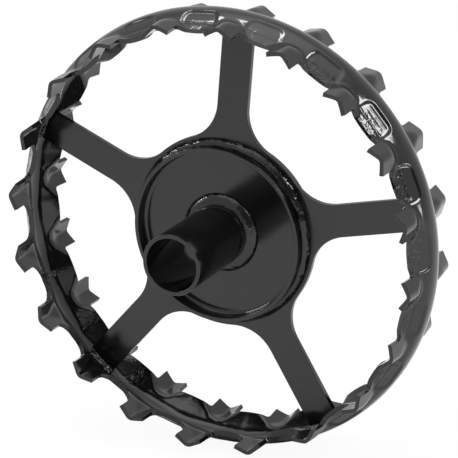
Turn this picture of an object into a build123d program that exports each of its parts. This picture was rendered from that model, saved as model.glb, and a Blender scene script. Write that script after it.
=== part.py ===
import os
from math import cos, degrees, radians, sin, tan

from build123d import *

# Crosskill roller ring, a welded steel ring that turns loose on a shaft.
# Millimetres. The shaft axis is Y, the long end of the hub tube faces -Y,
# and the origin is on the axis in the middle plane of the rim.

# Hub tube
tube_diameter = 60.3
tube_wall = 4.0
tube_front = 110.0
tube_rear = 40.0

# Spider, the flat plate with the spokes
spider_sheet = 6.0
spoke_count = 5
spoke_width = 32.0
spoke_fillet = 42.0
core_margin = 9.0
first_spoke = 9.0

# Pressed cups, one on each side of the spider
cup_diameter = 177.0
cup_sheet = 4.0
cup_height = 17.0
cup_bend = 4.0
cup_steps = 2

# Rim band, rolled with a rounded crown and two sloping flanks
crown_diameter = 445.0
rim_sheet = 4.0
crown_bend = 25.0
crown_steps = 4
flank_slope = 38.0
band_width = 57.0

# Teeth, tabs on both edges of the band that are folded to a ridge
teeth_per_spoke = 4
ring_width = 96.5
tip_drop = 6.0
tooth_width = 29.0
tooth_slope = 31.0
tooth_bend = 8.0
tooth_steps = 2
ridge_slope = 5.0
root_chamfer = 3.5

# Weld beads
tube_weld_leg = 10.5
cup_weld_leg = 6.0
spoke_weld_leg = 6.0
seam_width = 6.0
seam_height = 1.4
seam_tooth = 10

# Clearances
hole_clearance = 0.35
weld_clearance = 0.08
spoke_clearance = 0.25

# Worked out from the sizes above
tube_radius = tube_diameter / 2
hub_hole = tube_radius + hole_clearance
cup_radius = cup_diameter / 2
cup_corner = cup_bend + cup_sheet
core_radius = cup_radius + core_margin
spider_face = spider_sheet / 2
cup_floor = spider_face + cup_sheet
crown_radius = crown_diameter / 2
bend_centre = crown_radius - crown_bend
inner_bend = crown_bend - rim_sheet
half_band = band_width / 2
half_ring = ring_width / 2
half_tooth = tooth_width / 2
half_fold = half_tooth + root_chamfer
tip_radius = crown_radius - tip_drop
deep_radius = crown_radius - 2 * crown_bend
tooth_count = spoke_count * teeth_per_spoke
shaft = Plane.XZ


def bend_corners(centre, radius, start, end, steps):
    """Corners of a bend that is drawn with a few straight steps touching its arc."""
    step = (end - start) / steps
    reach = radius / cos(radians(step / 2))
    turns = [radians(start + step * (count + 0.5)) for count in range(steps)]
    return [(centre[0] + reach * cos(turn), centre[1] + reach * sin(turn)) for turn in turns]


def ridge_line(top, bend, slope, steps, depth, reach):
    """Line over a rounded ridge with a slope on each side, this deep under its outside."""
    foot = top - bend + (bend - depth) / cos(radians(slope)) - reach * tan(radians(slope))
    corners = bend_corners((top - bend, 0), bend - depth, -slope, slope, steps)
    return Polyline((foot, -reach), *corners, (foot, reach))


def crown_line(depth, reach):
    """Such a line along the band's section."""
    return ridge_line(crown_radius, crown_bend, flank_slope, crown_steps, depth, reach)


def fold_line(depth):
    """Such a line across the end of a folded tab."""
    return ridge_line(tip_radius, tooth_bend, tooth_slope, tooth_steps, depth, half_fold)


def close_below(line):
    """Close the area between such a line and the deepest radius."""
    Polyline(line @ 1, (deep_radius, (line @ 1).Y), (deep_radius, (line @ 0).Y), line @ 0)


def tab_side(radius):
    """Point on the side of a tab, in a plan whose X runs through the gap beside it."""
    half_pitch = radians(180 / tooth_count)
    across = radius * sin(half_pitch) - half_tooth * cos(half_pitch)
    return (radius * cos(half_pitch) + half_tooth * sin(half_pitch), across)


def inner_crown(offset):
    """Radius of the inside of the crown, this far from the middle plane."""
    return bend_centre + (inner_bend**2 - offset**2) ** 0.5


def save(builder, name):
    """Label a finished piece and write it."""
    builder.part.label = name
    export_step(builder.part, f"parts/{name}.step")


os.makedirs("parts", exist_ok=True)

# Hub tube
with BuildPart() as hub_tube:
    with BuildSketch(shaft.offset(-tube_rear)):
        Circle(tube_radius)
        Circle(tube_radius - tube_wall, mode=Mode.SUBTRACT)
    extrude(amount=tube_front + tube_rear)
save(hub_tube, "hub_tube")

# Spider, its spokes cut to the inside of the crown
spoke_end = inner_crown(spider_face) - spoke_clearance
with BuildPart() as spider:
    with BuildSketch(shaft) as plate:
        Circle(core_radius)
        with PolarLocations(0, spoke_count, start_angle=first_spoke):
            Rectangle(2 * crown_radius, spoke_width, align=(Align.MIN, Align.CENTER))
        Circle(spoke_end, mode=Mode.INTERSECT)
        corners = [v for v in plate.vertices() if Vector(*v).length < core_radius + 1]
        fillet(corners, spoke_fillet)
        Circle(hub_hole, mode=Mode.SUBTRACT)
    extrude(amount=spider_face, both=True)
save(spider, "spider")

# Cups, pressed dishes with their floors on the spider. Each carries the bead that
# joins its floor to the hub tube and the one that joins its wall to the spider.
corner_centre = (cup_radius - cup_corner, spider_face + cup_corner)
bead_bore = tube_radius + weld_clearance
with BuildPart() as rear_cup:
    with BuildSketch(Plane.XY):
        with BuildLine():
            Polyline(
                (hub_hole, spider_face),
                *bend_corners(corner_centre, cup_corner, -90, 0, cup_steps),
                (cup_radius, spider_face + cup_height),
                (cup_radius - cup_sheet, spider_face + cup_height),
                *bend_corners(corner_centre, cup_bend, 0, -90, cup_steps),
                (hub_hole, cup_floor),
                close=True,
            )
        make_face()
        with BuildLine():
            Polyline(
                (bead_bore, cup_floor + tube_weld_leg),
                (bead_bore, cup_floor),
                (bead_bore + tube_weld_leg, cup_floor),
                close=True,
            )
        make_face()
        with BuildLine():
            Polyline(
                (cup_radius, spider_face + cup_weld_leg),
                (cup_radius - cup_corner, spider_face),
                (cup_radius + cup_weld_leg, spider_face),
                close=True,
            )
        make_face()
    revolve(axis=Axis.Y)
save(rear_cup, "rear_cup")

with BuildPart() as front_cup:
    mirror(rear_cup.part, about=shaft)
save(front_cup, "front_cup")

# Rim, one sheet that lies between two surfaces. Each has the round crown with its
# flanks and the folds of the teeth, which run into the crown. The rim and the beads
# on it are made with Z along the shaft and X outwards, and their last blocks place
# them on the shaft's plane.
ridge_length = half_ring / cos(radians(ridge_slope))
ridge_way = (sin(radians(ridge_slope)), 0, -cos(radians(ridge_slope)))


def rim_side(depth):
    """Everything inside the rim's surface, this deep under its outside."""
    with BuildPart() as fold_pair:
        with BuildSketch(Plane.XY.offset(half_ring)):
            with BuildLine():
                close_below(fold_line(depth))
            make_face()
        extrude(amount=ridge_length, dir=ridge_way)
        mirror(about=Plane.XY)
    with BuildPart() as side:
        with BuildSketch(Plane.XZ):
            with BuildLine():
                close_below(crown_line(depth, half_ring))
            make_face()
        revolve(axis=Axis.Z)
        with PolarLocations(0, tooth_count):
            add(fold_pair.part)
    return side.part


# Notches on both edges between two teeth, their floors square to the flank
edge_radius = crown_radius - crown_bend + crown_bend / cos(radians(flank_slope))
edge_radius -= half_band * tan(radians(flank_slope))
along_flank = (-sin(radians(flank_slope)), 0, cos(radians(flank_slope)))
notch_floor = Plane((edge_radius, 0, half_band), x_dir=(0, 1, 0), z_dir=along_flank)
with BuildPart() as notch_pair:
    with BuildSketch():
        inner_end = tab_side(deep_radius)
        outer_end = tab_side(crown_radius + rim_sheet)
        with BuildLine():
            half_plan = Polyline((inner_end[0], 0), inner_end, outer_end, (outer_end[0], 0))
            mirror(half_plan, about=Plane.XZ)
        make_face()
    extrude(amount=half_ring + rim_sheet)
    split(bisect_by=notch_floor, keep=Keep.TOP)
    floor_edges = notch_pair.faces().sort_by(Axis((0, 0, 0), along_flank))[0].edges().sort_by(Axis.Y)
    chamfer([floor_edges[0], floor_edges[-1]], root_chamfer)
    mirror(about=Plane.XY)

with BuildPart() as toothed_sheet:
    add(rim_side(0))
    add(rim_side(rim_sheet), mode=Mode.SUBTRACT)
    with PolarLocations(0, tooth_count, start_angle=180 / tooth_count):
        add(notch_pair.part, mode=Mode.SUBTRACT)

with BuildPart(shaft) as rim:
    with PolarLocations(0, 1, start_angle=first_spoke):
        add(toothed_sheet.part)
save(rim, "rim")

# Bead of the butt weld that closes the rim, across its inside between two teeth
seam_angle = first_spoke + (seam_tooth + 0.5) * 360 / tooth_count
seam_arc = degrees(seam_width / crown_radius)
with BuildPart() as seam_form:
    with BuildSketch(Plane.XZ):
        with BuildLine():
            crown_line(rim_sheet + weld_clearance + seam_height / 2, half_band - rim_sheet)
        trace(line_width=seam_height)
    revolve(axis=Axis.Z, revolution_arc=seam_arc)

with BuildPart(shaft) as rim_seam_weld:
    with PolarLocations(0, 1, start_angle=seam_angle - seam_arc / 2):
        add(seam_form.part)
save(rim_seam_weld, "rim_seam_weld")

# Beads at the ends of the spokes, in the corners with the inside of the crown
spoke_arc = degrees(spoke_width / spoke_end)
bead_top = spider_face + spoke_weld_leg
with BuildPart() as front_bead_form:
    with BuildSketch(Plane.XZ):
        with BuildLine():
            Polyline(
                (inner_crown(spider_face) - weld_clearance - spoke_weld_leg, spider_face),
                (inner_crown(spider_face) - weld_clearance, spider_face),
                (inner_crown(bead_top) - weld_clearance, bead_top),
                close=True,
            )
        make_face()
    revolve(axis=Axis.Z, revolution_arc=spoke_arc)

with BuildPart() as rear_bead_form:
    mirror(front_bead_form.part, about=Plane.XY)

for spoke in range(spoke_count):
    bead_start = first_spoke + spoke * 360 / spoke_count - spoke_arc / 2
    for face, form in (("front", front_bead_form), ("rear", rear_bead_form)):
        with BuildPart(shaft) as spoke_weld:
            with PolarLocations(0, 1, start_angle=bead_start):
                add(form.part)
        save(spoke_weld, f"spoke_{spoke + 1}_{face}_weld")
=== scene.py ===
import math

import bmesh
import bpy
from mathutils import Matrix, Quaternion, Vector, noise


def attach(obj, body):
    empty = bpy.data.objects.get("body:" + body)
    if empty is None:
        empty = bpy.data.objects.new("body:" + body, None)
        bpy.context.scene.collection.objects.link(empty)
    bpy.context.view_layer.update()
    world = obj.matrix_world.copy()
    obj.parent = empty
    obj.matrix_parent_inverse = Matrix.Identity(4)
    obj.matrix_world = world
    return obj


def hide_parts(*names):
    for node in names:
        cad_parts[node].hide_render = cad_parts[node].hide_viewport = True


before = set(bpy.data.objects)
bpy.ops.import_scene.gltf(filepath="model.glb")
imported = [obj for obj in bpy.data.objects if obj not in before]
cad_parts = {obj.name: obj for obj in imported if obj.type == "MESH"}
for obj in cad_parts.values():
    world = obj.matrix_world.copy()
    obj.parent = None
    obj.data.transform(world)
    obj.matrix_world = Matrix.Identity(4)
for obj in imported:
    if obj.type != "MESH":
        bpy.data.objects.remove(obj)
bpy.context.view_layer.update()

# The shaft axis is Y and the long end of the hub tube faces -Y. Lengths are metres.
shaftAxis = Vector((0, -1, 0))
ringAngle = 9.0    # degrees from +X to the first spoke and the first tooth


# Camera and frame
cameraSettings = {
    "place": (0.97797, -1.83414, 0.66418),
    "aim": (0.00551, 0.0, 0.00146),
    "roll": 4.146,    # degrees, the top leans to the right
    "lens": 175.92,
    "sensor": 36.0,
}


def makeCamera(settings):
    data = bpy.data.cameras.new("camera")
    data.lens = settings["lens"]
    data.sensor_width = settings["sensor"]
    data.clip_start, data.clip_end = 0.05, 50.0
    camera = bpy.data.objects.new("camera", data)
    bpy.context.scene.collection.objects.link(camera)
    place, aim = Vector(settings["place"]), Vector(settings["aim"])
    turn = (aim - place).to_track_quat("-Z", "Y")
    roll = Quaternion((0, 0, 1), -math.radians(settings["roll"]))
    camera.rotation_mode = "QUATERNION"
    camera.location = place
    camera.rotation_quaternion = turn @ roll
    bpy.context.scene.camera = camera
    return camera


# Node helpers
def addNode(tree, kind, place=(0, 0), **values):
    node = tree.nodes.new(kind)
    node.location = place
    for key, value in values.items():
        setattr(node, key, value)
    return node


def noiseNode(tree, coords, scale, detail=3.0, rough=0.5, distortion=0.0, place=(0, 0)):
    node = addNode(tree, "ShaderNodeTexNoise", place)
    node.inputs["Scale"].default_value = scale
    node.inputs["Detail"].default_value = detail
    node.inputs["Roughness"].default_value = rough
    node.inputs["Distortion"].default_value = distortion
    tree.links.new(coords, node.inputs["Vector"])
    return node.outputs["Fac"]


def remap(tree, value, fromLow, fromHigh, toLow, toHigh, place=(0, 0)):
    node = addNode(tree, "ShaderNodeMapRange", place)
    ends = (("From Min", fromLow), ("From Max", fromHigh), ("To Min", toLow), ("To Max", toHigh))
    for name, number in ends:
        node.inputs[name].default_value = number
    tree.links.new(value, node.inputs["Value"])
    return node.outputs["Result"]


def combine(tree, kind, first, second, place=(0, 0)):
    node = addNode(tree, "ShaderNodeMath", place, operation=kind)
    for socket, value in zip(node.inputs, (first, second)):
        if isinstance(value, (int, float)):
            socket.default_value = value
        else:
            tree.links.new(value, socket)
    return node.outputs[0]


def blendColour(tree, factor, first, second, place=(0, 0)):
    node = addNode(tree, "ShaderNodeMix", place, data_type="RGBA")
    for name, value in (("Factor", factor), ("A", first), ("B", second)):
        socket = next(s for s in node.inputs if s.name == name and s.enabled)
        if isinstance(value, tuple):
            socket.default_value = (*value, 1.0)
        else:
            tree.links.new(value, socket)
    return next(s for s in node.outputs if s.enabled)


# Black enamel, one recipe for all pieces
def makeEnamel(name, look):
    material = bpy.data.materials.new(name)
    material.use_nodes = True
    tree = material.node_tree
    tree.nodes.clear()
    output = addNode(tree, "ShaderNodeOutputMaterial", (900, 0))
    shader = addNode(tree, "ShaderNodeBsdfPrincipled", (600, 0))
    tree.links.new(shader.outputs[0], output.inputs["Surface"])
    coords = addNode(tree, "ShaderNodeTexCoord", (-1400, 0)).outputs["Object"]

    clouds = noiseNode(tree, coords, look["cloudScale"], 4.0, 0.55, 0.3, (-1100, 300))
    shade = blendColour(tree, clouds, look["dark"], look["light"], (-700, 300))
    dustField = noiseNode(tree, coords, look["dustScale"], 2.0, 0.6, 0.0, (-1100, 560))
    dust = remap(tree, dustField, look["dustFrom"], look["dustFrom"] + 0.12, 0.0, look["dustAmount"],
                 (-900, 560))
    colour = blendColour(tree, dust, shade, look["dustColour"], (-400, 300))
    tree.links.new(colour, shader.inputs["Base Color"])

    smears = noiseNode(tree, coords, look["smearScale"], 3.0, 0.6, 0.8, (-1100, 0))
    gloss = remap(tree, smears, 0.3, 0.7, look["roughLow"], look["roughHigh"], (-800, 0))
    tree.links.new(gloss, shader.inputs["Roughness"])
    shader.inputs["IOR"].default_value = 1.5

    peel = noiseNode(tree, coords, look["peelScale"], 2.0, 0.5, 0.0, (-1100, -300))
    waves = noiseNode(tree, coords, look["waveScale"], 2.0, 0.5, 0.0, (-1100, -540))
    height = combine(tree, "MULTIPLY", peel, look["peelHeight"], (-800, -300))
    swell = combine(tree, "MULTIPLY", waves, look["waveHeight"], (-800, -540))
    height = combine(tree, "ADD", height, swell, (-600, -400))
    if "crumpleHeight" in look:
        mask = addNode(tree, "ShaderNodeAttribute", (-1100, -800), attribute_name="crumple").outputs["Fac"]
        folds = noiseNode(tree, coords, look["crumpleScale"], 2.0, 0.5, 0.8, (-1100, -1000))
        folds = combine(tree, "MULTIPLY", folds, look["crumpleHeight"], (-800, -1000))
        folds = combine(tree, "MULTIPLY", folds, mask, (-600, -900))
        height = combine(tree, "ADD", height, folds, (-400, -600))
    bump = addNode(tree, "ShaderNodeBump", (200, -300))
    bump.inputs["Strength"].default_value = 1.0
    bump.inputs["Distance"].default_value = 1.0
    tree.links.new(height, bump.inputs["Height"])
    tree.links.new(bump.outputs[0], shader.inputs["Normal"])
    return material


enamelBase = {
    "dark": (0.0025, 0.0025, 0.0026),
    "light": (0.0060, 0.0060, 0.0058),
    "cloudScale": 22.0,
    "dustScale": 900.0,
    "dustFrom": 0.66,
    "dustAmount": 0.25,
    "dustColour": (0.06, 0.06, 0.058),
    "smearScale": 30.0,
    "roughLow": 0.07,
    "roughHigh": 0.15,
    "peelScale": 600.0,
    "peelHeight": 0.000003,
    "waveScale": 55.0,
    "waveHeight": 0.00004,
}
tubeEnamel = makeEnamel("tubeEnamel", {**enamelBase, "roughLow": 0.06, "roughHigh": 0.12})
plateEnamel = makeEnamel("plateEnamel", {**enamelBase, "roughLow": 0.14, "roughHigh": 0.24})
cupEnamel = makeEnamel("cupEnamel", {**enamelBase, "roughLow": 0.10, "roughHigh": 0.17})
rimEnamel = makeEnamel("rimEnamel", {**enamelBase, "crumpleScale": 190.0, "crumpleHeight": 0.0006})
beadEnamel = makeEnamel("beadEnamel", {**enamelBase, "waveScale": 260.0, "waveHeight": 0.0005,
                                       "roughLow": 0.07, "roughHigh": 0.14})
print("materials made")


# Piece helpers
def placePiece(name, bm, material, node, smooth=True):
    for face in bm.faces:
        face.smooth = smooth
    mesh = bpy.data.meshes.new(name)
    bm.to_mesh(mesh)
    bm.free()
    mesh.set_sharp_from_angle(angle=math.radians(50))
    piece = bpy.data.objects.new(name, mesh)
    bpy.context.scene.collection.objects.link(piece)
    piece.data.materials.append(material)
    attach(piece, "root")
    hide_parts(node)
    return piece


def joinDoubles(bm, distance=1e-6):
    bmesh.ops.remove_doubles(bm, verts=bm.verts, dist=distance)
    bmesh.ops.recalc_face_normals(bm, faces=bm.faces)


def finishEdges(piece, width, angle=40.0, segments=2):
    bevel = piece.modifiers.new("edges", "BEVEL")
    bevel.width = width
    bevel.segments = segments
    bevel.limit_method = "ANGLE"
    bevel.angle_limit = math.radians(angle)
    bevel.harden_normals = True


def evenNormals(piece):
    # large flat faces keep their own direction beside small rounded ones
    weighted = piece.modifiers.new("normals", "WEIGHTED_NORMAL")
    weighted.keep_sharp = True
    return piece


pressedBend = 0.002    # a rounding above this is a bend in the sheet, below it a broken edge


def spinOutline(bm, corners, steps):
    # corners are (radius, place along the shaft, bend), in order round the section
    verts = [bm.verts.new((radius, along, 0)) for radius, along, bend in corners]
    for first, second in zip(verts, verts[1:] + verts[:1]):
        bm.edges.new((first, second))
    for vert, (radius, along, bend) in zip(verts, corners):
        if bend > 0:    # at a square corner the cut starts one radius away
            bmesh.ops.bevel(bm, geom=[vert], offset=bend, segments=6 if bend > pressedBend else 2,
                            profile=0.5, affect="VERTICES", material=-1)
    bmesh.ops.spin(bm, geom=bm.verts[:] + bm.edges[:], axis=shaftAxis, cent=(0, 0, 0),
                   angle=2 * math.pi, steps=steps, use_merge=True)
    joinDoubles(bm)


# Hub tube
tube = {"radius": 0.03015, "wall": 0.004, "front": -0.110, "rear": 0.040, "edge": 0.0007, "steps": 128}


def makeTube():
    inner = tube["radius"] - tube["wall"]
    bm = bmesh.new()
    spinOutline(bm, [
        (inner, tube["front"], tube["edge"]),
        (tube["radius"], tube["front"], tube["edge"]),
        (tube["radius"], tube["rear"], tube["edge"]),
        (inner, tube["rear"], tube["edge"]),
    ], tube["steps"])
    return evenNormals(placePiece("hubTube", bm, tubeEnamel, "hub_tube"))


# Cups, pressed dishes on both sides of the spider
cup = {"hole": 0.0305, "radius": 0.0885, "sheet": 0.004, "bend": 0.004, "base": 0.003,
       "height": 0.017, "edge": 0.0006, "steps": 192}


def makeCup(name, side, node):
    outerBend = cup["bend"] + cup["sheet"]
    floor = cup["base"] + cup["sheet"]
    top = cup["base"] + cup["height"]
    bm = bmesh.new()
    spinOutline(bm, [
        (cup["hole"], side * cup["base"], 0),
        (cup["radius"], side * cup["base"], outerBend),
        (cup["radius"], side * top, cup["edge"]),
        (cup["radius"] - cup["sheet"], side * top, cup["edge"]),
        (cup["radius"] - cup["sheet"], side * floor, cup["bend"]),
        (cup["hole"], side * floor, 0),
    ], cup["steps"])
    return evenNormals(placePiece(name, bm, cupEnamel, node))


# Weld beads that run round the shaft
beads = {
    "tubeLeg": 0.0100,       # on the cup's floor
    "tubeWallLeg": 0.0068,   # up the tube
    "tubeBulge": 0.0016,
    "tubeLump": 0.0002,
    "cupLeg": 0.006,
    "cupBulge": 0.0008,
    "cupLump": 0.00064,
    "steps": 300,
}


def ripple(place, scale, seed):
    return noise.noise(place * scale + Vector((seed, seed * 0.7, -seed)))


def makeRingBead(name, section, lump, node, seed):
    bm = bmesh.new()
    spinOutline(bm, section, beads["steps"])
    bmesh.ops.subdivide_edges(bm, edges=[e for e in bm.edges if e.calc_length() > 0.0025], cuts=1)
    bm.normal_update()
    for vert in bm.verts:
        swell = ripple(vert.co, 90, seed) + 0.6 * ripple(vert.co, 260, seed + 3)
        patch = smoothStep(0.35 + 1.6 * ripple(vert.co, 22, seed + 5))    # rougher in places
        vert.co += vert.normal * lump * swell * (0.4 + patch)
    return placePiece(name, bm, beadEnamel, node)


def beadSection(corner, towardWall, towardPlate, wallLeg, plateLeg, bulge):
    # the bead's outline: the corner it fills, then round its bulged face to the plate
    wallEnd, plateEnd = corner + towardWall * wallLeg, corner + towardPlate * plateLeg
    outward = (towardWall + towardPlate).normalized()
    outline = [corner - outward * 0.0004]
    for step in range(9):
        share = step / 8
        outline.append(wallEnd.lerp(plateEnd, share) + outward * bulge * math.sin(math.pi * share) ** 0.7)
    return [(point.x, point.y, 0) for point in outline]


def makeBeads(side, word, node):
    floor = cup["base"] + cup["sheet"]
    outward, along = Vector((1, 0)), Vector((0, side))
    tubeSection = beadSection(Vector((tube["radius"], side * floor)), along, outward,
                              beads["tubeWallLeg"], beads["tubeLeg"], beads["tubeBulge"])
    cupSection = beadSection(Vector((cup["radius"], side * cup["base"])), along, outward,
                             beads["cupLeg"], beads["cupLeg"], beads["cupBulge"])
    makeRingBead(word + "TubeBead", tubeSection, beads["tubeLump"], node, 2 + side)
    makeRingBead(word + "CupBead", cupSection, beads["cupLump"], node, 7 + side)


# Pressed rim with its teeth
rim = {
    "crownRadius": 0.22246,
    "crownBend": 0.025,
    "flankSlope": 38.0,
    "sheet": 0.004,
    "bandEdge": 0.0279,
    "halfRing": 0.04824,
    "tipRadius": 0.2165,
    "halfTooth": 0.0145,
    "toothSlope": 31.0,
    "toothBend": 0.008,
    "fadedBend": 0.030,    # how round the ridge is where it runs into the crown
    "fadeFrom": 0.033,
    "fadeTo": 0.013,
    "ridgeSlope": 5.0,
    "rootFillet": 0.004,
    "rootBlend": 0.0016,
    "teeth": 20,
    "toothStops": ((0.0105, 5), (0.0145, 4)),    # where mesh lines lie, and how many
    "rootSteps": 4,
    "gapStops": ((0.0055, 6), (0.0160, 4)),
    "bandStops": ((0.0070, 2), (0.0125, 6), (0.0198, 4), (0.0222, 4)),
    "edgeSteps": 3,
    "tabSteps": 6,
}
dish = {
    "top": 0.0082,          # the recess that the press leaves between two teeth
    "halfWidth": 0.0198,
    "corner": 0.0085,
    "lip": 0.0030,
    "depthTop": 0.0020,
    "depthLow": 0.0009,
    "crease": 0.0210,
    "creaseWidth": 0.0009,
    "creaseDepth": 0.0004,
    "bulge": 0.0024,        # how far the sheet stands in on its inner side there
    "bulgeWidth": 0.0270,
    "crumpleFrom": 0.0150,
    "crumplePush": 0.0003,
    "smoothGaps": (4, 5, 6),    # gaps counted from +X where the sheet stayed smooth
    "wrinkledInside": (12, 13),
}


def spreadStops(stops):
    places = [0.0]
    for end, steps in stops:
        start = places[-1]
        places += [start + (end - start) * (step + 1) / steps for step in range(steps)]
    return places


toothPlaces = spreadStops(rim["toothStops"])
gapPlaces = spreadStops(rim["gapStops"])
bandPlaces = spreadStops(rim["bandStops"] + ((rim["bandEdge"], rim["edgeSteps"]),))
stretchFrom = rim["bandStops"][-1][0]


def crownRadius(along):
    slope = math.radians(rim["flankSlope"])
    centre = rim["crownRadius"] - rim["crownBend"]
    if abs(along) < rim["crownBend"] * math.sin(slope):
        return centre + math.sqrt(rim["crownBend"] ** 2 - along ** 2)
    return centre + rim["crownBend"] / math.cos(slope) - abs(along) * math.tan(slope)


def smoothStep(value):
    value = min(max(value, 0.0), 1.0)
    return value * value * (3 - 2 * value)


def foldHeight(across, along):
    slope = math.radians(rim["toothSlope"])
    fade = smoothStep((rim["fadeFrom"] - abs(along)) / (rim["fadeFrom"] - rim["fadeTo"]))
    bend = rim["toothBend"] + fade * (rim["fadedBend"] - rim["toothBend"])
    sharp = rim["tipRadius"] - rim["toothBend"] + rim["toothBend"] / math.cos(slope)
    sharp += (rim["halfRing"] - abs(along)) * math.tan(math.radians(rim["ridgeSlope"]))
    if abs(across) < bend * math.sin(slope):
        return sharp - bend / math.cos(slope) + math.sqrt(bend ** 2 - across ** 2)
    return sharp - abs(across) * math.tan(slope)


def dishShare(offset, along):
    # 1 on the floor of the recess, 0 outside its rounded outline
    sideways = abs(offset) - (dish["halfWidth"] - dish["corner"])
    upwards = dish["top"] + dish["corner"] - abs(along)
    reach = math.hypot(max(sideways, 0), max(upwards, 0)) + min(max(sideways, upwards), 0)
    return smoothStep((dish["corner"] - reach) / dish["lip"])


def dishDepth(offset, along):
    low = smoothStep((abs(along) - 0.012) / (rim["bandEdge"] - 0.012))
    depth = dish["depthTop"] + low * (dish["depthLow"] - dish["depthTop"])
    depth -= offset ** 2 / (2 * rim["crownRadius"]) * (1 - 0.5 * low)    # a flat floor under a round crown
    crease = max(1 - abs(abs(along) - dish["crease"]) / dish["creaseWidth"], 0)
    return (max(depth, 0.0004) + crease * dish["creaseDepth"]) * dishShare(offset, along)


def bulgeShare(offset, along):
    across = smoothStep(1 - abs(offset) / dish["bulgeWidth"])
    return across * smoothStep((abs(along) + 0.004) / 0.018)


def softMax(first, second, width):
    share = min(max(0.5 + 0.5 * (first - second) / width, 0.0), 1.0)
    return second + (first - second) * share + width * share * (1 - share)


def rimSurface(across, along, angle, dished):
    # distance from the shaft along the tooth's own upright, at this place on the sheet
    crown = crownRadius(along)
    band = math.sqrt(crown ** 2 - across ** 2)
    if dished:
        band -= dishDepth((math.pi / rim["teeth"] - abs(angle)) * crown, along)
    return softMax(band, foldHeight(across, along), rim["rootBlend"])


def rimPlace(column, row):
    # across, along and angle of a mesh line crossing, counted from the middle of a tooth
    toothEnd = len(toothPlaces) - 1
    rootEnd = toothEnd + rim["rootSteps"]
    rootSpan = rim["halfTooth"] + rim["rootFillet"]
    edge = rim["bandEdge"]
    across = rootSpan
    if column <= toothEnd:
        across = toothPlaces[column]
        edge += rim["rootFillet"]
    elif column <= rootEnd:
        turn = math.pi / 2 * (rootEnd - column) / rim["rootSteps"]
        across = rootSpan - rim["rootFillet"] * math.sin(turn)
        edge += rim["rootFillet"] * (1 - math.cos(turn))
    bandEnd = len(bandPlaces) - 1
    if abs(row) > bandEnd:
        along = edge + (rim["halfRing"] - edge) * (abs(row) - bandEnd) / rim["tabSteps"]
    else:
        along = bandPlaces[abs(row)]
        if along > stretchFrom:
            share = (along - stretchFrom) / (rim["bandEdge"] - stretchFrom)
            along = stretchFrom + share * (edge - stretchFrom)
    along = math.copysign(along, row)
    crown = crownRadius(along)
    angle = math.asin(across / crown)
    if column > rootEnd:
        angle += (math.pi / rim["teeth"] - angle) * gapPlaces[column - rootEnd] / gapPlaces[-1]
        across = crown * math.sin(angle)
    return across, along, angle


def rimPoint(column, row, dished):
    across, along, angle = rimPlace(abs(column), row)
    upright = rimSurface(across, along, angle, dished)
    if abs(column) > len(toothPlaces) - 1 + rim["rootSteps"]:
        reach = upright / math.cos(angle)
        across = reach * math.sin(angle)
    return Vector((upright, along, math.copysign(across, column)))


def gapPlace(point):
    # which gap a point lies in, and how far from the gap's middle
    pitch = 2 * math.pi / rim["teeth"]
    angle = math.atan2(point.z, point.x)
    gap = round(angle / pitch)
    return gap % rim["teeth"], (angle - gap * pitch) * math.hypot(point.x, point.z)


def makeRim():
    columns = len(toothPlaces) - 1 + rim["rootSteps"] + len(gapPlaces) - 1
    rows = len(bandPlaces) - 1 + rim["tabSteps"]
    bm = bmesh.new()
    bmesh.ops.create_grid(bm, x_segments=2 * columns, y_segments=2 * rows, size=1)
    beside = []
    sink = bm.verts.layers.float.new("sink")
    crumple = bm.verts.layers.float.new("crumple")
    for vert in bm.verts:
        column, row = round(vert.co.x * columns), round(vert.co.y * rows)
        if abs(column) > len(toothPlaces) - 1 and abs(row) > len(bandPlaces) - 1:
            beside.append(vert)
            continue
        vert.co = rimPoint(column, row, False)
        vert[sink] = vert.co.x - rimPoint(column, row, True).x
    bmesh.ops.delete(bm, geom=beside, context="VERTS")
    bmesh.ops.rotate(bm, verts=bm.verts, cent=(0, 0, 0),
                     matrix=Matrix.Rotation(math.radians(ringAngle), 3, shaftAxis))
    pitch = 2 * math.pi / rim["teeth"]
    bmesh.ops.spin(bm, geom=bm.verts[:] + bm.edges[:] + bm.faces[:], axis=shaftAxis, cent=(0, 0, 0),
                   angle=2 * math.pi - pitch, steps=rim["teeth"] - 1, use_duplicate=True)
    bmesh.ops.remove_doubles(bm, verts=bm.verts, dist=2e-5)
    bmesh.ops.recalc_face_normals(bm, faces=bm.faces)
    probe = max(bm.faces, key=lambda face: face.calc_center_median().x)
    if probe.normal.x < 0:
        bmesh.ops.reverse_faces(bm, faces=bm.faces)
    outside = bm.verts[:]
    bmesh.ops.solidify(bm, geom=bm.faces[:], thickness=rim["sheet"])
    for vert in outside:
        gap, offset = gapPlace(vert.co)
        outward = Vector((vert.co.x, 0, vert.co.z)).normalized()
        wrinkled = smoothStep((abs(vert.co.y) - dish["crumpleFrom"]) / 0.004) * dishShare(offset, vert.co.y)
        wrinkled *= smoothStep((0.0165 - abs(offset)) / 0.006)
        if gap in dish["smoothGaps"]:
            wrinkled *= 0.25
        vert[crumple] = wrinkled
        push = ripple(vert.co, 150, 1.0) + 0.6 * ripple(vert.co, 330, 5.0)
        vert.co += outward * (dish["crumplePush"] * push * wrinkled - vert[sink])
    outside = set(outside)
    for vert in bm.verts:
        if vert in outside:
            continue
        gap, offset = gapPlace(vert.co)
        outward = Vector((vert.co.x, 0, vert.co.z)).normalized()
        inner = bulgeShare(offset, vert.co.y)
        vert[crumple] = inner if gap in dish["wrinkledInside"] else 0.12 * inner
        push = ripple(vert.co, 150, 9.0) * vert[crumple]
        vert.co += outward * (dish["crumplePush"] * push - dish["bulge"] * inner)
    piece = placePiece("pressedRim", bm, rimEnamel, "rim")
    finishEdges(piece, 0.0004, 50.0)
    return piece


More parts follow.
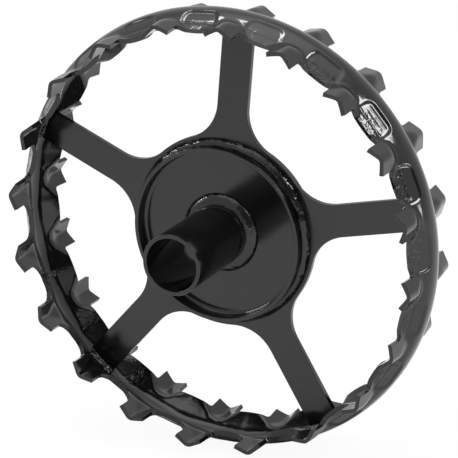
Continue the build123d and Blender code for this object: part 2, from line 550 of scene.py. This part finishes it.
# Spider plate, the CAD plate with its cut edges broken
def copyNode(name, node, material):
    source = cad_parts[node]
    bm = bmesh.new()
    bm.from_mesh(source.data)
    bm.transform(source.matrix_world)
    bmesh.ops.remove_doubles(bm, verts=bm.verts, dist=1e-6)
    bmesh.ops.dissolve_limit(bm, angle_limit=math.radians(1.0), verts=bm.verts, edges=bm.edges)
    return placePiece(name, bm, material, node, smooth=False)


def makeSpider():
    piece = copyNode("spiderPlate", "spider", plateEnamel)
    finishEdges(piece, 0.0005)
    return piece


# Welds at the rim, the CAD beads made lumpy
welds = {"cell": 0.0016, "lump": 0.0009, "rise": 0.0006}


def makeWeld(name, node, seed):
    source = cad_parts[node]
    bm = bmesh.new()
    bm.from_mesh(source.data)
    bm.transform(source.matrix_world)
    bmesh.ops.remove_doubles(bm, verts=bm.verts, dist=1e-6)
    for turn in range(5):
        long = [edge for edge in bm.edges if edge.calc_length() > welds["cell"]]
        if not long:
            break
        bmesh.ops.subdivide_edges(bm, edges=long, cuts=1)
        bmesh.ops.triangulate(bm, faces=[face for face in bm.faces if len(face.verts) > 4])
    # the cuts leave some four-cornered faces with a straight corner, which would export folded
    bmesh.ops.triangulate(bm, faces=bm.faces[:])
    bmesh.ops.smooth_vert(bm, verts=bm.verts, factor=0.5, use_axis_x=True, use_axis_y=True, use_axis_z=True)
    bmesh.ops.recalc_face_normals(bm, faces=bm.faces)
    bm.normal_update()
    for vert in bm.verts:
        inward = -Vector((vert.co.x, 0, vert.co.z)).normalized()
        swell = ripple(vert.co, 260, seed) + 0.5 * ripple(vert.co, 620, seed + 2)
        vert.co += vert.normal * welds["lump"] * swell
        vert.co += inward * welds["rise"] * max(vert.normal.dot(inward), 0)
    return placePiece(name, bm, beadEnamel, node)


makeTube()
makeCup("rearCup", 1, "rear_cup")
makeCup("frontCup", -1, "front_cup")
makeBeads(1, "rear", "rear_cup")
makeBeads(-1, "front", "front_cup")
print("hub and cups made")
makeRim()
print("rim made")
makeSpider()
print("spider made")
weldNodes = sorted(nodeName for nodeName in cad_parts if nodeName.endswith("_weld"))
for number, nodeName in enumerate(weldNodes):
    words = nodeName.split("_")
    makeWeld(words[0] + "".join(word.capitalize() for word in words[1:]), nodeName, 11.0 + number)
print("rim welds made")


# Floor and light
studio = {
    "floorLevel": -0.2232,
    "floorColour": (0.80, 0.80, 0.80),
    "floorGlow": 0.94,        # share of pure white where the camera sees the floor
    "worldStrength": 0.84,
    "skyFrom": 0.78,          # how high the brighter sky starts
    "skyStrength": 1.7,
    "darkWay": (0.621, -0.740, 0.259),    # the dark room behind the camera's right
    "darkFrom": 0.84,
    "darkTo": 0.93,
    "darkShare": 0.2,
}


def makeStage():
    bm = bmesh.new()
    bmesh.ops.create_grid(bm, x_segments=1, y_segments=1, size=6.0)
    for vert in bm.verts:
        vert.co.z = studio["floorLevel"]
    mesh = bpy.data.meshes.new("floor")
    bm.to_mesh(mesh)
    bm.free()
    floor = bpy.data.objects.new("floor", mesh)
    bpy.context.scene.collection.objects.link(floor)
    material = bpy.data.materials.new("paleFloor")
    material.use_nodes = True
    tree = material.node_tree
    tree.nodes.clear()
    output = addNode(tree, "ShaderNodeOutputMaterial", (600, 0))
    diffuse = addNode(tree, "ShaderNodeBsdfDiffuse", (0, 0))
    diffuse.inputs["Color"].default_value = (*studio["floorColour"], 1.0)
    glow = addNode(tree, "ShaderNodeEmission", (0, -200))
    glow.inputs["Color"].default_value = (1, 1, 1, 1)
    path = addNode(tree, "ShaderNodeLightPath", (-400, 200))
    share = combine(tree, "MULTIPLY", path.outputs["Is Camera Ray"], studio["floorGlow"], (-100, 200))
    mix = addNode(tree, "ShaderNodeMixShader", (300, 0))
    tree.links.new(share, mix.inputs[0])
    tree.links.new(diffuse.outputs[0], mix.inputs[1])
    tree.links.new(glow.outputs[0], mix.inputs[2])
    tree.links.new(mix.outputs[0], output.inputs["Surface"])
    floor.data.materials.append(material)


def makeWorld():
    world = bpy.data.worlds.new("studio")
    bpy.context.scene.world = world
    world.use_nodes = True
    tree = world.node_tree
    tree.nodes.clear()
    output = addNode(tree, "ShaderNodeOutputWorld", (900, 0))
    direction = addNode(tree, "ShaderNodeTexCoord", (-900, 0)).outputs["Generated"]
    upward = addNode(tree, "ShaderNodeSeparateXYZ", (-700, 200))
    tree.links.new(direction, upward.inputs[0])
    overhead = remap(tree, upward.outputs["Z"], studio["skyFrom"], 1.0, 0.0, studio["skyStrength"],
                     (-500, 200))
    darkSide = addNode(tree, "ShaderNodeVectorMath", (-700, -200), operation="DOT_PRODUCT")
    darkSide.inputs[1].default_value = Vector(studio["darkWay"]).normalized()
    tree.links.new(direction, darkSide.inputs[0])
    dimmed = remap(tree, darkSide.outputs["Value"], studio["darkFrom"], studio["darkTo"], 1.0,
                   studio["darkShare"], (-500, -200))
    level = combine(tree, "MULTIPLY", dimmed, studio["worldStrength"], (-250, -200))
    level = combine(tree, "ADD", level, overhead, (0, 0))
    room = addNode(tree, "ShaderNodeBackground", (300, 0))
    room.inputs["Color"].default_value = (1, 1, 1, 1)
    tree.links.new(level, room.inputs["Strength"])
    white = addNode(tree, "ShaderNodeBackground", (300, -200))
    white.inputs["Color"].default_value = (1, 1, 1, 1)
    white.inputs["Strength"].default_value = 1.0
    path = addNode(tree, "ShaderNodeLightPath", (300, 300))
    mix = addNode(tree, "ShaderNodeMixShader", (600, 0))
    tree.links.new(path.outputs["Is Camera Ray"], mix.inputs[0])
    tree.links.new(room.outputs[0], mix.inputs[1])
    tree.links.new(white.outputs[0], mix.inputs[2])
    tree.links.new(mix.outputs[0], output.inputs["Surface"])


def addLamp(name, place, aim, size, power):
    data = bpy.data.lights.new(name, "AREA")
    data.shape = "RECTANGLE"
    data.size, data.size_y = size
    data.energy = power
    lamp = bpy.data.objects.new(name, data)
    bpy.context.scene.collection.objects.link(lamp)
    lamp.location = place
    lamp.rotation_mode = "QUATERNION"
    lamp.rotation_quaternion = (Vector(aim) - Vector(place)).to_track_quat("-Z", "Y")


makeStage()
makeWorld()
addLamp("rightBox", (1.9, -0.36, 1.42), (0, 0, 0), (0.5, 0.7), 22)
addLamp("leftStrip", (-2.0, -0.6, 1.2), (0, 0, 0), (0.2, 0.9), 11)
addLamp("overheadStrip", (-0.55, 0.0, 2.1), (0, 0, 0), (0.16, 0.8), 7)
addLamp("lowStrip", (2.2, -0.25, -0.05), (0, 0, 0), (0.3, 0.16), 3)
makeCamera(cameraSettings)
bpy.context.scene.view_settings.view_transform = "Standard"
print("stage made")
